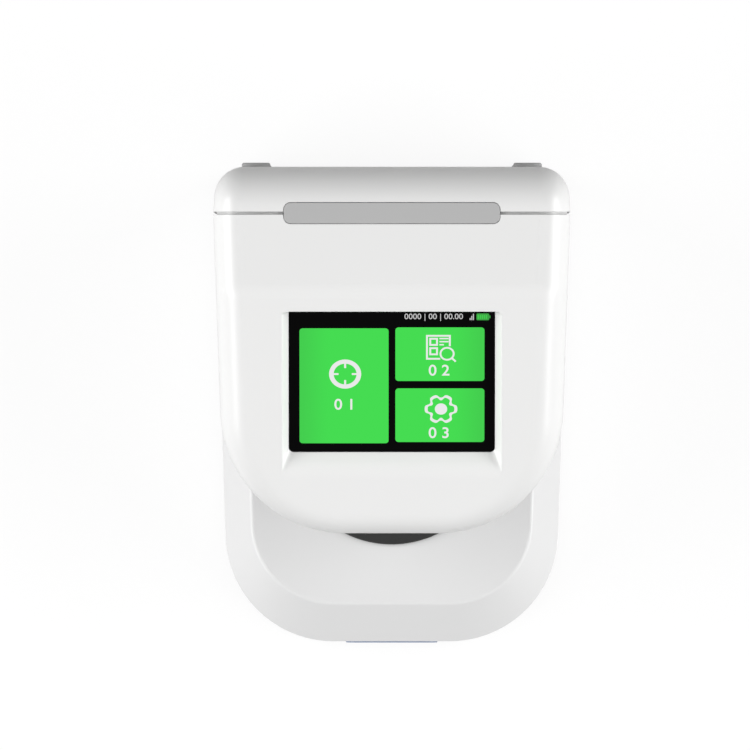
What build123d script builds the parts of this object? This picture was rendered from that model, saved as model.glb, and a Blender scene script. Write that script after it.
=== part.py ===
from build123d import *
from math import atan2, cos, radians, sin, sqrt, tan
import os

# Plan of the body, in millimetres: +X right, +Y towards the rear, +Z up
body_length = 161.8          # rear face to base front
seam_width = 121.2           # across the seam between the front shells and the rear cover
rear_narrowing = 1.8         # rear face against the seam, before its corners are rounded
side_taper = 1.96            # degrees that each side closes in towards the front
seam_from_rear = 15.8
head_reach = 124.5           # rear face to head front
head_corner_radius = 42.5
base_corner_radius = 37.0
column_depth = 50.5          # rear face to the column's front wall
column_corner_radius = 5.0

# Heights
foot_height = 2.0
deck_height = 66.0           # floor to the deck that carries the sample stage
sample_gap = 38.0            # deck to head underside
head_front_height = 29.0     # underside to where slope and front wall would meet
screen_slope = 25.0          # degrees that the front part of the head top falls
bend_from_rear = 42.5        # rear face to the bend between level top and slope

# Walls and edges
wall = 2.5
bottom_plate = 3.0
underside_plate = 3.0
edge_radius = 10.5           # rounding along the head's and rear cover's upper edges
rear_top_radius = 14.0
bend_radius = 12.0
underside_edge = 1.8
bottom_edge = 1.5
seam_gap = 1.0
seam_depth = 1.2

# Sloped shoulder round the deck
shoulder_side = 9.2
shoulder_front = 12.9
shoulder_drop = 11.0
deck_corner_radius = 28.0
deck_edge_radius = 1.6

# Screen pocket in the sloped part of the head
pocket_from_bend = 7.6       # along the slope, bend to the pocket's rear edge
pocket_flare = 2.05          # how far each side wall leans out from floor to slope
pocket_depth = 3.2
pocket_corner_radius = 1.7
pocket_edge_radius = 0.5
pocket_wall = 2.0
screen_width = 70.1
screen_length = 53.9
ramp_length = 5.2            # along the slope, screen to where ramp and slope would meet
ramp_blend_radius = 13.0     # soft rounding from the ramp into the slope
ramp_steps = 8
glass_thickness = 1.6
glass_ledge = 1.5
ledge_width = 1.8
display_thickness = 3.4
display_frame_thickness = 1.5

# Port cover, astride the seam on the head top
cover_length = 73.4
cover_width = 7.1
cover_thickness = 1.6
cover_corner_radius = 2.4
cover_clearance = 0.15
cover_lift = 8.0             # travel before the captive stems' heads stop it
cover_stem_radius = 1.1
cover_stem_spacing = 62.0
cover_stem_head_radius = 1.8
cover_stem_head_height = 1.5
cover_plug_length = 4.0
cover_gap = 0.3              # cover down to the panel
plug_fit = 0.12
slot_rim = 2.0
panel_thickness = 2.0
panel_flange = 4.0
usb_width = 9.0
usb_height = 3.2
usb_length = 7.3
socket_wall = 0.3
dc_radius = 2.2
dc_length = 9.0
dc_pin_radius = 0.65

# Feet
rear_foot_radius = 4.85
rear_foot_proud = 1.4
rear_foot_spacing = 92.2
rear_foot_height = 24.0
rear_foot_drop = 23.0        # top of the body down to the upper pair
foot_recess = 1.0
base_foot_radius = 6.0
base_foot_spacing = 84.0
base_foot_front = 42.0       # base front to the front pair
base_foot_rear = 18.0        # rear face to the rear pair

# Measuring key and power button
key_width = 31.4
key_height = 9.0
key_proud = 0.6
key_centre_height = 33.0
key_travel = 0.5
key_clearance = 0.25
key_edge_radius = 0.36
flange_margin = 1.6
flange_thickness = 1.2
button_radius = 5.5
button_centre_height = 84.0
button_from_seam = 12.0
button_travel = 0.8
button_sunk = 0.25
button_edge_radius = 0.5
switch_gap = 0.2
switch_size = 6.0
switch_depth = 3.5
board_thickness = 1.6
post_radius = 2.2
post_offset = 4.5            # edge of the key's or button's cap to the board's posts

# Sample stage and optics, all on one vertical axis
stage_from_rear = 92.6       # rear face to the optical axis
stage_radius = 36.0
stage_thickness = 1.5
stage_spigot_radius = 30.0
port_radius = 10.5
port_flare = 1.0             # the ring's mouth opens upwards by this
port_ring_radius = 16.0
port_ring_height = 0.8
sphere_radius = 24.0         # inner
sphere_wall = 2.0
sphere_flange_radius = 33.0
sphere_flange = 2.5
sphere_neck_wall = 3.0
sphere_room = 1.0            # round the sphere in the frame's arm
trap_radius = 8.0
trap_wall = 1.5
trap_tip_radius = 0.4
trap_cone_height = 6.4
detector_drop = 10.0         # sphere centre down to the detector's axis
detector_radius = 4.0
detector_wall = 2.0
detector_length = 9.0
barrel_radius = 13.0
barrel_bore = 10.0
barrel_height = 16.5
barrel_flange_radius = 17.0
barrel_flange = 2.5
barrel_ledge = 1.0           # width and height of the ledges that carry window and lens
window_ring_radius = 18.0
window_ring_drop = 1.0
window_thickness = 1.5
lens_height = 5.0
lens_edge = 2.0
lens_gap = 3.0               # window to lens
lens_seat = 0.05
stop_thickness = 1.0
stop_radius = 1.5
heat_sink_height = 6.0
fin_count = 7
fin_thickness = 1.2

# Inner frame, boards and battery
arm_thickness = 4.0
lower_arm_width = 76.0
upper_arm_width = 52.0
arm_overhang = 38.0          # lower arm in front of the optical axis
upper_overhang = 18.0
spine_from_seam = 14.7       # seam to the spine's rear face
spine_rise = 28.0            # spine above the upper arm
frame_leg_radius = 4.0
leg_spacing_x = 68.0
leg_front = 33.0             # optical axis to the front legs
leg_rear = 37.0
cell_radius = 9.2
cell_length = 65.0
cell_count = 2
cell_pitch = 20.0
cell_clearance = 0.1
lowest_cell_height = 71.0
holder_depth = 8.0
holder_margin = 3.5
main_board_width = 76.0
main_board_height = 48.0
main_board_gap = 4.0
cable_radius = 1.8
loom_room = 1.0              # loom beside the power board
loom_plug = 6.0
plug_depth = 5.0
detector_board_width = 26.0
ribbon_width = 14.0
ribbon_thickness = 0.35
ribbon_gap = 1.2
loom_bend = 5.0              # drop from plug to the loom's first turn
cell_edge_radius = 0.6

# Parts on the main board: centre across, height on the board, width, height and depth
board_parts = {
    "processor": (-12.0, 22.0, 14.0, 14.0, 1.6),
    "memory": (12.0, 26.0, 10.0, 10.0, 1.4),
    "relay": (-28.0, 34.0, 12.0, 6.0, 5.0),
    "converter": (-26.0, 12.0, 9.0, 7.0, 2.0),
    "ribbon_socket": (0.0, 40.0, 16.0, 5.0, 2.4),
    "loom_socket": (26.0, 9.0, 6.0, 6.0, 5.0),
}

# Fasteners
screw_radius = 1.5
screw_head_radius = 2.8
screw_head_height = 2.0
screw_length = 12.0
boss_radius = 4.0
screw_clearance = 0.1
base_boss_front = 37.0       # optical axis to the front bosses
base_boss_rear = 52.0        # optical axis to the rear bosses
base_boss_spacing = 92.0
hex_radius = 1.2             # hexagon sockets in the screw heads
sphere_screw_radius = 1.0
sphere_screw_head_radius = 2.1
sphere_screw_head_height = 1.3

# Places worked out from the sizes
rear_y = (body_length + key_proud - rear_foot_proud) / 2
base_front_y = rear_y - body_length
seam_y = rear_y - seam_from_rear
head_front_y = rear_y - head_reach
bend_y = rear_y - bend_from_rear
column_y = rear_y - column_depth
axis_y = rear_y - stage_from_rear
floor_z = foot_height + bottom_plate
deck_z = deck_height
underside_z = deck_z + sample_gap
head_floor_z = underside_z + underside_plate
slope = radians(screen_slope)
top_z = underside_z + head_front_height + (bend_y - head_front_y) * tan(slope)
front_face_y = seam_y - seam_gap / 2
rear_face_y = seam_y + seam_gap / 2
shoulder_z = deck_z - shoulder_drop
panel_z = top_z - cover_thickness - cover_gap
panel_low = top_z - wall - panel_thickness
upper_foot_z = top_z - rear_foot_drop
foot_x = rear_foot_spacing / 2
port_plane_z = deck_z
sphere_z = port_plane_z - sqrt(sphere_radius**2 - port_radius**2)
sphere_outer = sphere_radius + sphere_wall
lower_arm_z = sphere_z + sphere_flange
upper_arm_z = head_floor_z + underside_plate
spine_y = seam_y - spine_from_seam
slope_plane = Plane(origin=(0, bend_y, top_z), x_dir=(1, 0, 0), z_dir=(0, -sin(slope), cos(slope)))
big = body_length * 2


def half_width(y):
    return seam_width / 2 - tan(radians(side_taper)) * (seam_y - y)


def column(radius, height, x=0.0, y=0.0, z=0.0):
    # upright cylinder standing on z
    return Pos(x, y, z) * Cylinder(radius, height, align=(Align.CENTER, Align.CENTER, Align.MIN))


def rod_y(radius, length, x, y, z):
    # cylinder lying along +Y, from y
    return Pos(x, y, z) * Rot(-90, 0, 0) * column(radius, length)


def rod_x(radius, length, x, y, z):
    # cylinder lying along +X, from x
    return Pos(x, y, z) * Rot(0, 90, 0) * column(radius, length)


def block(x, y, z):
    # box between pairs of limits
    low = Vector(x[0], y[0], z[0])
    size = Vector(x[1], y[1], z[1]) - low
    return Pos(low) * Box(*size, align=(Align.MIN, Align.MIN, Align.MIN))


def ring(outer, inner, height, x=0.0, y=0.0, z=0.0):
    return column(outer, height, x, y, z) - column(inner, height, x, y, z)


def one_solid(shape):
    solids = shape.solids()
    return Part() + max(solids, key=lambda s: s.volume)


def plan(front_y, back_y, corner, inset=0.0, sides=0.0):
    # outline seen from above: straight back, tapered sides, rounded front corners
    near = half_width(front_y) - inset - sides
    far = half_width(back_y) - inset - sides
    front = front_y + inset
    outline = make_face(Polyline((-far, back_y), (far, back_y), (near, front), (-near, front), close=True))
    return fillet(outline.vertices().sort_by(Axis.Y)[:2], corner - inset)


# Head

def slope_height(y, inset=0.0):
    return top_z - inset - (bend_y + inset * tan(slope / 2) - y) * tan(slope)


def head_block(inset, low_z, back_y):
    # the whole head form, walls moved in by inset
    high = top_z - inset
    bend = bend_y + inset * tan(slope / 2)
    front = head_front_y - wall
    outline = Pos(0, 0, low_z) * plan(head_front_y, back_y, head_corner_radius, inset)
    side = make_face(Polyline((back_y, low_z), (back_y, high), (bend, high),
                              (front, slope_height(front, inset)), (front, low_z), close=True))
    form = extrude(outline, top_z) & extrude(Plane.YZ * side, seam_width, both=True)
    crease = form.edges().filter_by(Axis.X).filter_by(lambda e: abs(e.center().Y - bend) < 0.1)
    form = fillet(crease, bend_radius - inset)

    def on_rim(edge):
        middle = edge.position_at(0.5)
        ends = [edge.position_at(t) for t in (0.0, 1.0)]
        across = abs(ends[0].X - ends[1].X) > seam_width / 2 and middle.Y > head_front_y + wall * 2
        upright = abs(ends[0].Z - ends[1].Z) > 1 and abs(ends[0].Y - ends[1].Y) < 0.01
        crown = max(abs(slope_height(min(p.Y, bend), inset) - p.Z) for p in (middle, *ends))
        return crown < 1.0 and not across and not upright

    return fillet(form.edges().filter_by(on_rim), edge_radius - inset)


def slope_rectangle(half, rear, front, depth, corner):
    # rounded rectangle parallel to the slope, between two distances from the bend
    middle = Pos(0, -(rear + front) / 2)
    return slope_plane.offset(-depth) * middle * RectangleRounded(2 * half, front - rear, corner)


def pocket_form():
    # screen pocket: drafted sides with a small edge rounding, and a front ramp that rolls into the slope
    ramp = atan2(pocket_depth, ramp_length)
    screen_front = pocket_from_bend + screen_length
    crest = screen_front + ramp_length + ramp_blend_radius * tan(ramp / 2)
    levels = [(pocket_depth, screen_front)]
    for step in range(ramp_steps + 1):
        turn = ramp * (1 - step / ramp_steps)
        levels.append((ramp_blend_radius * (1 - cos(turn)), crest - ramp_blend_radius * sin(turn)))
    sections = []
    for depth, front in levels:
        lip = max(pocket_edge_radius - depth, 0)
        roll = pocket_edge_radius - sqrt(pocket_edge_radius**2 - lip**2)
        half = screen_width / 2 + pocket_flare * (1 - depth / pocket_depth) + roll
        sections.append(slope_rectangle(half, pocket_from_bend - roll, front, depth, pocket_corner_radius))
    return loft(sections, ruled=True) + extrude(sections[-1], pocket_depth)


def pocket_basin(depth):
    # walls round and under the pocket
    rear, front = pocket_from_bend - pocket_wall, pocket_from_bend + screen_length + pocket_wall
    low = slope_rectangle(screen_width / 2 + pocket_wall, rear, front, depth, pocket_corner_radius)
    half = screen_width / 2 + pocket_flare + pocket_wall
    high = slope_rectangle(half, rear, front + 2 * ramp_length, 0, pocket_corner_radius)
    return loft([low, high], ruled=True)


def screen_slab(width, length, near, far):
    # rounded slab under the screen, between two depths below the slope
    centre = -(pocket_from_bend + screen_length / 2)
    face = slope_plane.offset(-near) * Pos(0, centre) * RectangleRounded(width, length, pocket_corner_radius)
    return extrude(face, near - far)


def slot_cut():
    # room for the port cover and its panel, open upwards
    outline = RectangleRounded(cover_length + 2 * cover_clearance, cover_width + 2 * cover_clearance,
                               cover_corner_radius + cover_clearance)
    low = panel_low - cover_clearance
    return extrude(Pos(0, seam_y, low) * outline, top_z + wall - low)


def boss_rib(x, y0, y1, z):
    # boss beside a side wall, with a rib that joins it to the wall
    side = 1 if x > 0 else -1
    reach = sorted((x, side * (half_width(y0) - wall / 2)))
    return rod_y(boss_radius, y1 - y0, x, y0, z) + block(reach, (y0, y1), (z - wall / 2, z + wall / 2))


def make_head_shell():
    shell = head_block(0, head_floor_z, front_face_y) - head_block(wall, head_floor_z - 1, front_face_y + 1)
    basin_depth = pocket_depth + glass_thickness + glass_ledge
    shell += pocket_basin(basin_depth) & head_block(wall / 2, head_floor_z, front_face_y)
    shell -= pocket_form()
    shell -= screen_slab(screen_width, screen_length, 0, pocket_depth + glass_thickness)
    shell -= screen_slab(screen_width - 2 * ledge_width, screen_length - 2 * ledge_width, 0, big / 4)
    for x in (-foot_x, foot_x):
        shell += boss_rib(x, front_face_y - screw_length, front_face_y, upper_foot_z)
        shell -= rod_y(screw_radius, screw_length - wall, x, front_face_y - screw_length + wall, upper_foot_z)
    for x, y in underside_screw_places():
        shell += column(boss_radius, screw_length, x, y, head_floor_z)
        shell += head_boss_rib(x, y)
        shell -= column(screw_radius, screw_length - wall, x, y, head_floor_z)
    return one_solid(shell - slot_cut())


def underside_screw_places():
    side = half_width(column_y) - wall - boss_radius * 1.6
    return [(side, column_y), (-side, column_y), (side, axis_y), (-side, axis_y)]


def head_boss_rib(x, y):
    side = 1 if x > 0 else -1
    reach = sorted((x, side * (half_width(y) - wall / 2)))
    return block(reach, (y - wall / 2, y + wall / 2), (head_floor_z, head_floor_z + screw_length))


def make_head_underside():
    # plate that closes the head from below, open over the column
    outline = plan(head_front_y, front_face_y, head_corner_radius)
    plate = extrude(Pos(0, 0, underside_z) * outline, underside_plate)
    rim = plate.faces().sort_by(Axis.Z)[0].edges().filter_by(lambda e: e.center().Y < front_face_y - 1)
    plate = fillet(rim, underside_edge)
    duct = plan(column_y, front_face_y + 1, wall * 3, wall * 2)
    plate -= extrude(Pos(0, 0, underside_z) * duct, underside_plate)
    reach = half_width(column_y) - wall
    plate += block((-reach, reach), (column_y - wall, column_y + wall), (underside_z, head_floor_z))
    plate -= column(barrel_radius + cover_clearance, underside_plate, 0, axis_y, underside_z)
    for x, y in underside_screw_places():
        plate -= column(screw_radius + screw_clearance, underside_plate, x, y, underside_z)
        plate -= column(screw_head_radius + screw_clearance, screw_head_height, x, y, underside_z)
    return one_solid(plate)


def screw(x, y, z, length=screw_length - wall):
    # pan head at z, shank upwards
    head = column(screw_head_radius, screw_head_height, x, y, z)
    socket = extrude(Pos(x, y, z) * RegularPolygon(hex_radius, 6), screw_head_height / 2)
    return head + column(screw_radius, length, x, y, z + screw_head_height) - socket


# Rear cover

def seam_section(inset, low_z):
    # upright section of the body at the seam
    half = seam_width / 2 - inset
    high = top_z - inset
    face = make_face(Polyline((-half, low_z), (half, low_z), (half, high), (-half, high), close=True))
    return fillet(face.vertices().sort_by(Axis.Y)[-2:], edge_radius - inset)


def rear_block(inset, low_z, front):
    half_front = seam_width / 2 - inset
    half_rear = half_front - rear_narrowing / 2
    back = rear_y - inset
    outline = make_face(Polyline((-half_front, front), (half_front, front), (half_rear, back),
                                 (-half_rear, back), close=True))
    form = extrude(Pos(0, 0, low_z) * outline, top_z - inset - low_z)
    crest = form.edges().filter_by(Axis.X).filter_by(
        lambda e: e.center().Y > back - 0.1 and e.center().Z > top_z - inset - 0.1)
    form = fillet(crest, rear_top_radius - inset)
    flank = form.edges().filter_by(
        lambda e: abs(e.position_at(0.5).X) > half_rear - 1 and e.center().Y > front + 0.1
        and e.center().Z > low_z + 0.1)
    return fillet(flank, edge_radius - inset)


def make_rear_cover():
    cover = rear_block(0, floor_z, rear_face_y) - rear_block(wall, floor_z + wall, rear_face_y - 1)
    tongue = seam_section(seam_depth, floor_z) - seam_section(wall, floor_z + wall)
    cover += extrude(Plane.XZ.offset(-rear_face_y) * tongue, seam_gap)
    reach = cover_length / 2 + slot_rim
    cover += block((-reach, reach), (rear_face_y, seam_y + cover_width / 2 + slot_rim),
                   (panel_low, top_z - wall / 2))
    cover -= slot_cut()
    for x in (-foot_x, foot_x):
        for z in (rear_foot_height, upper_foot_z):
            cover += rod_y(boss_radius, rear_y - wall / 2 - front_face_y, x, front_face_y, z)
            cover -= rod_y(rear_foot_radius + screw_clearance, foot_recess + 1, x, rear_y - foot_recess, z)
            cover -= rod_y(screw_radius + screw_clearance, seam_from_rear + wall, x, front_face_y, z)
            cover -= rod_y(screw_head_radius + screw_clearance, big, x, rear_screw_y(), z)
    return one_solid(cover)


def rear_screw_y():
    # where a rear screw's head seats in its post
    return rear_y - foot_recess - screw_head_height - wall


def make_rear_screws():
    group = []
    for x in (-foot_x, foot_x):
        for z in (rear_foot_height, upper_foot_z):
            seat = rear_screw_y()
            reach = seat - front_face_y + screw_length - 2 * wall
            item = rod_y(screw_head_radius, screw_head_height, x, seat, z) + rod_y(
                screw_radius, reach, x, seat - reach, z)
            group.append(item)
    return Compound(children=[g.solids()[0] for g in group])


def make_rear_feet():
    group = []
    for x in (-foot_x, foot_x):
        for z in (rear_foot_height, upper_foot_z):
            pad = rod_y(rear_foot_radius, foot_recess + rear_foot_proud, x, rear_y - foot_recess, z)
            pad = chamfer(pad.edges().filter_by(lambda e: e.center().Y > rear_y + 0.5), rear_foot_proud / 3)
            group.append(pad)
    return Compound(children=[g.solids()[0] for g in group])


# Base

def base_block(inset, low_z, back_y):
    # base form: upright walls, sloped shoulder and deck
    start = shoulder_z - inset * tan(atan2(shoulder_front, shoulder_drop) / 2)
    lower = extrude(Pos(0, 0, low_z) * plan(base_front_y, back_y, base_corner_radius, inset), start - low_z)
    skirt = Pos(0, 0, start) * plan(base_front_y, back_y, base_corner_radius, inset)
    deck = Pos(0, 0, deck_z - inset) * plan(base_front_y + shoulder_front, back_y, deck_corner_radius, inset,
                                            shoulder_side)
    shoulder = loft([skirt, deck], ruled=True)
    return lower + shoulder


def column_block(inset, low_z, high_z, back_y):
    return extrude(Pos(0, 0, low_z) * plan(column_y, back_y, column_corner_radius, inset), high_z - low_z)


def base_boss_places():
    half = base_boss_spacing / 2
    return [(x, y) for x in (-half, half) for y in (axis_y - base_boss_front, axis_y + base_boss_rear)]


def key_slot(margin, near, far):
    # rounded bar through the front wall, between two Y places
    bar = SlotOverall(key_width + 2 * margin, key_height + 2 * margin)
    return extrude(Plane.XZ.offset(-far) * Pos(0, key_centre_height) * bar, far - near)


def make_base_shell():
    outer = base_block(0, floor_z, front_face_y)
    deck_rim = outer.faces().filter_by(Axis.Z).sort_by(Axis.Z)[-1].edges().filter_by(
        lambda e: e.center().Y < front_face_y - 1)
    outer = fillet(deck_rim, deck_edge_radius)
    outer += column_block(0, floor_z, underside_z, front_face_y)
    inner = base_block(wall, floor_z - 1, front_face_y + 1)
    inner += column_block(wall, floor_z - 1, underside_z + 1, front_face_y + 1)
    shell = outer - inner
    for x, y in base_boss_places():
        post = column(boss_radius, deck_z, x, y, floor_z)
        side = 1 if x > 0 else -1
        reach = sorted((x, side * (half_width(y) - wall / 2)))
        post += block(reach, (y - wall / 2, y + wall / 2), (floor_z, deck_z))
        shell += post & (outer - column(boss_radius * 3, big, x, y, shoulder_z - wall))
        shell -= column(screw_radius, screw_length, x, y, floor_z)
    for x in (-foot_x, foot_x):
        shell += boss_rib(x, front_face_y - screw_length, front_face_y, rear_foot_height)
        reach = screw_length - wall
        shell -= rod_y(screw_radius, reach, x, front_face_y - reach, rear_foot_height)
    shell -= column(stage_spigot_radius + cover_clearance, wall * 3, 0, axis_y, deck_z - wall * 2)
    shell -= key_slot(key_clearance, base_front_y - 1, base_front_y + wall + 1)
    post_y = base_front_y + wall / 2
    for x in (-key_width / 2 - post_offset, key_width / 2 + post_offset):
        shell += rod_y(post_radius, key_board_y() - post_y, x, post_y, key_centre_height)
    button_y = seam_y - button_from_seam
    side = half_width(button_y)
    shell -= rod_x(button_radius + key_clearance, wall * 3, side - wall * 2, button_y, button_centre_height)
    for z in (-1, 1):
        far = button_radius + post_offset
        board = button_board_x()
        shell += rod_x(post_radius, side - wall / 2 - board, board, button_y, button_centre_height + z * far)
    return one_solid(shell)


def make_base_plate():
    bottom = foot_height
    outline = plan(base_front_y, rear_y, base_corner_radius, bottom_edge)
    corners = outline.vertices().sort_by(Axis.Y)[-2:]
    outline = fillet(corners, edge_radius)
    inset_back = block((-big, big), (rear_y - bottom_edge, big), (0, floor_z))
    plate = extrude(Pos(0, 0, bottom) * outline, bottom_plate) - inset_back
    for x, y in base_boss_places():
        plate -= column(screw_radius + screw_clearance, bottom_plate, x, y, bottom)
        plate -= column(screw_head_radius + screw_clearance, screw_head_height, x, y, bottom)
    for x, y in base_foot_places():
        plate -= column(base_foot_radius + screw_clearance, foot_recess, x, y, bottom)
    return one_solid(plate)


def base_foot_places():
    half = base_foot_spacing / 2
    return [(x, y) for x in (-half, half) for y in (base_front_y + base_foot_front, rear_y - base_foot_rear)]


def make_base_feet():
    group = []
    for x, y in base_foot_places():
        pad = column(base_foot_radius, foot_height + foot_recess, x, y, 0)
        pad = chamfer(pad.edges().sort_by(Axis.Z)[:1], foot_height / 4)
        group.append(pad)
    return Compound(children=[g.solids()[0] for g in group])


def make_base_screws():
    return Compound(children=[screw(x, y, foot_height).solids()[0] for x, y in base_boss_places()])


def make_underside_screws():
    return Compound(children=[screw(x, y, underside_z).solids()[0] for x, y in underside_screw_places()])


# Screen

def make_cover_glass():
    gap = 2 * cover_clearance
    return screen_slab(screen_width - gap, screen_length - gap, pocket_depth, pocket_depth + glass_thickness)


def make_display_module():
    near = pocket_depth + glass_thickness + glass_ledge
    panel = screen_slab(screen_width, screen_length, near, near + display_thickness)
    inside = screen_width - 2 * ledge_width - 2 * cover_clearance
    long_side = screen_length - 2 * ledge_width - 2 * cover_clearance
    return panel + screen_slab(inside, long_side, near - glass_ledge, near)


def make_display_frame():
    # pressed steel tray behind the display, with a window for its cable
    near = pocket_depth + glass_thickness + glass_ledge + display_thickness
    tray = screen_slab(screen_width + 2 * pocket_wall, screen_length, near, near + display_frame_thickness)
    return tray - screen_slab(screen_width * 0.7, screen_length * 0.5, near, near + display_frame_thickness)


# Port cover and sockets

def cover_stem_places():
    return [(-cover_stem_spacing / 2, seam_y), (cover_stem_spacing / 2, seam_y)]


def make_port_cover():
    # soft bar that fills the slot, with a hollow plug for each socket and two captive stems
    low = top_z - cover_thickness
    bar = extrude(Pos(0, seam_y, low) * RectangleRounded(cover_length, cover_width, cover_corner_radius),
                  cover_thickness)
    bar = fillet(bar.faces().sort_by(Axis.Z)[-1].edges(), cover_clearance)
    reach = cover_gap + cover_plug_length
    for name, plug in (("usb", usb_mouth(-plug_fit)), ("dc", dc_mouth(-plug_fit))):
        bar += extrude(Pos(socket_places()[name], seam_y, low - reach) * plug, reach)
    bar -= extrude(Pos(socket_places()["usb"], seam_y, low - reach) * usb_tongue(plug_fit), reach)
    bar -= column(dc_pin_radius + plug_fit, reach, socket_places()["dc"], seam_y, low - reach)
    head_z = panel_low - cover_lift - cover_clearance - cover_stem_head_height
    for x, y in cover_stem_places():
        bar += column(cover_stem_radius, low - head_z, x, y, head_z)
        bar += Pos(x, y, head_z) * Cone(cover_stem_radius, cover_stem_head_radius, cover_stem_head_height,
                                        align=(Align.CENTER, Align.CENTER, Align.MIN))
    return one_solid(bar)


def socket_places():
    return {"usb": -cover_length / 6, "dc": cover_length / 6}


def make_port_panel():
    # carrier under the cover; its front flange seats under the head's top wall
    half = cover_length / 2 - slot_rim
    inner = cover_width / 2 - cover_clearance
    panel = block((-half, half), (seam_y - inner, seam_y + inner), (panel_low, panel_z))
    panel += block((-half, half), (seam_y - inner - panel_flange, seam_y), (panel_low, top_z - wall))
    panel -= usb_form(cover_clearance)
    panel -= dc_form(cover_clearance)
    for x, y in cover_stem_places():
        panel -= column(cover_stem_radius + cover_clearance, panel_z - panel_low, x, y, panel_low)
    return one_solid(panel)


def usb_form(margin):
    corner = usb_height / 2 - socket_wall + margin
    shell = RectangleRounded(usb_width + 2 * margin, usb_height + 2 * margin, corner)
    return extrude(Pos(socket_places()["usb"], seam_y, panel_z - usb_length) * shell, usb_length)


def usb_mouth(margin):
    inset = socket_wall - margin
    corner = usb_height / 2 - inset - socket_wall
    return RectangleRounded(usb_width - 2 * inset, usb_height - 2 * inset, corner)


def usb_tongue(margin):
    return Rectangle(usb_width - 8 * socket_wall + 2 * margin, 2 * socket_wall + 2 * margin)


def make_usb_socket():
    place = Pos(socket_places()["usb"], seam_y, 0)
    depth = usb_length - 4 * socket_wall
    mouth = extrude(place * Pos(0, 0, panel_z - depth) * usb_mouth(0), depth)
    tongue = extrude(place * Pos(0, 0, panel_z - usb_length) * usb_tongue(0), usb_length - 3 * socket_wall)
    return usb_form(0) - mouth + tongue


def dc_form(margin):
    return column(dc_radius + margin, dc_length, socket_places()["dc"], seam_y, panel_z - dc_length)


def dc_mouth(margin):
    return Circle(dc_radius - 2 * socket_wall + margin)


def make_dc_socket():
    x = socket_places()["dc"]
    depth = dc_length - 3 * socket_wall
    body = dc_form(0) - extrude(Pos(x, seam_y, panel_z - depth) * dc_mouth(0), depth)
    return body + column(dc_pin_radius, depth, x, seam_y, panel_z - dc_length)


def make_port_board():
    # lies under both sockets, held by two posts that drop from the panel
    low = panel_z - dc_length - board_thickness
    y = seam_y
    reach = cover_length / 3
    board = block((-reach, reach), (y - cover_width / 2, y + cover_width / 2), (low, low + board_thickness))
    half = usb_width / 2
    x = socket_places()["usb"]
    board += block((x - half, x + half), (y - usb_height / 2, y + usb_height / 2),
                   (low + board_thickness, panel_z - usb_length))
    for x in (-reach, reach):
        board += block((x - post_radius, x + post_radius), (y - post_radius, y + post_radius),
                       (low, panel_low))
    return board


# Keys

def key_board_y():
    return base_front_y + wall + flange_thickness + key_travel + switch_gap + switch_depth + key_clearance


def make_measure_key():
    cap = key_slot(0, base_front_y - key_proud, base_front_y + wall + key_clearance)
    front = cap.edges().filter_by(lambda e: e.center().Y < base_front_y - key_proud + 0.01)
    cap = fillet(front, key_edge_radius)
    back = base_front_y + wall + key_clearance
    return cap + key_slot(flange_margin, back, back + flange_thickness)


def make_key_board():
    y = key_board_y()
    reach = key_width / 2 + post_offset + post_radius
    board = block((-reach, reach), (y, y + board_thickness),
                  (key_centre_height - switch_size, key_centre_height + switch_size))
    half = switch_size / 2
    switch = block((-half, half), (y - switch_depth, y), (key_centre_height - half, key_centre_height + half))
    return board + switch


def button_board_x():
    side = half_width(seam_y - button_from_seam)
    return side - wall - flange_thickness - button_travel - switch_gap - switch_depth - 3 * key_clearance


def make_power_button():
    y = seam_y - button_from_seam
    side = half_width(y)
    face = side - button_sunk - tan(radians(side_taper)) * button_radius
    back = side - wall - 2 * key_clearance
    cap = rod_x(button_radius, face - back, back, y, button_centre_height)
    rim = cap.edges().filter_by(lambda e: e.center().X > face - 0.01)
    cap = fillet(rim, button_edge_radius)
    return cap + rod_x(button_radius + flange_margin, flange_thickness, back - flange_thickness, y,
                       button_centre_height)


def make_power_board():
    x = button_board_x()
    y = seam_y - button_from_seam
    far = button_radius + post_offset + post_radius
    half = switch_size / 2
    board = block((x - board_thickness, x), (y - switch_size, y + switch_size),
                  (button_centre_height - far, button_centre_height + far))
    return board + block((x, x + switch_depth), (y - half, y + half),
                         (button_centre_height - half, button_centre_height + half))


# Sample stage and integrating sphere

def make_sample_stage():
    # black disc on the deck, with a spigot in the deck's opening
    disc = column(stage_radius, stage_thickness, 0, axis_y, deck_z)
    disc = chamfer(disc.edges().sort_by(Axis.Z)[-1:], stage_thickness / 4)
    disc += column(stage_spigot_radius, wall, 0, axis_y, deck_z - wall)
    disc -= column(port_ring_radius + screw_clearance, big / 4, 0, axis_y, deck_z - wall * 2)
    crown = sqrt(sphere_outer**2 - (deck_z - wall - sphere_z) ** 2)
    disc -= column(crown + cover_clearance, wall, 0, axis_y, deck_z - wall)
    return one_solid(disc)


def make_port_ring():
    # raised ring round the measuring aperture, on the sphere's neck
    low = port_plane_z
    body = column(port_ring_radius, stage_thickness + port_ring_height, 0, axis_y, low)
    top = body.edges().sort_by(Axis.Z)[-1:]
    body = chamfer(top, port_ring_height / 2)
    mouth = Cone(port_radius, port_radius + port_flare, stage_thickness + port_ring_height,
                 align=(Align.CENTER, Align.CENTER, Align.MIN))
    return body - Pos(0, axis_y, low) * mouth


def ball(radius):
    return Pos(0, axis_y, sphere_z) * Sphere(radius)


def make_sphere_upper():
    half = block((-big, big), (-big, big), (sphere_z, port_plane_z))
    shell = ball(sphere_outer) & half
    shell += ring(sphere_flange_radius, sphere_radius, sphere_flange, 0, axis_y, sphere_z)
    neck = port_radius + sphere_neck_wall
    low = sphere_z + sphere_radius / 2
    shell += column(neck, port_plane_z - low, 0, axis_y, low)
    return one_solid(shell - ball(sphere_radius) - column(port_radius, big / 4, 0, axis_y, sphere_z))


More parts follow.
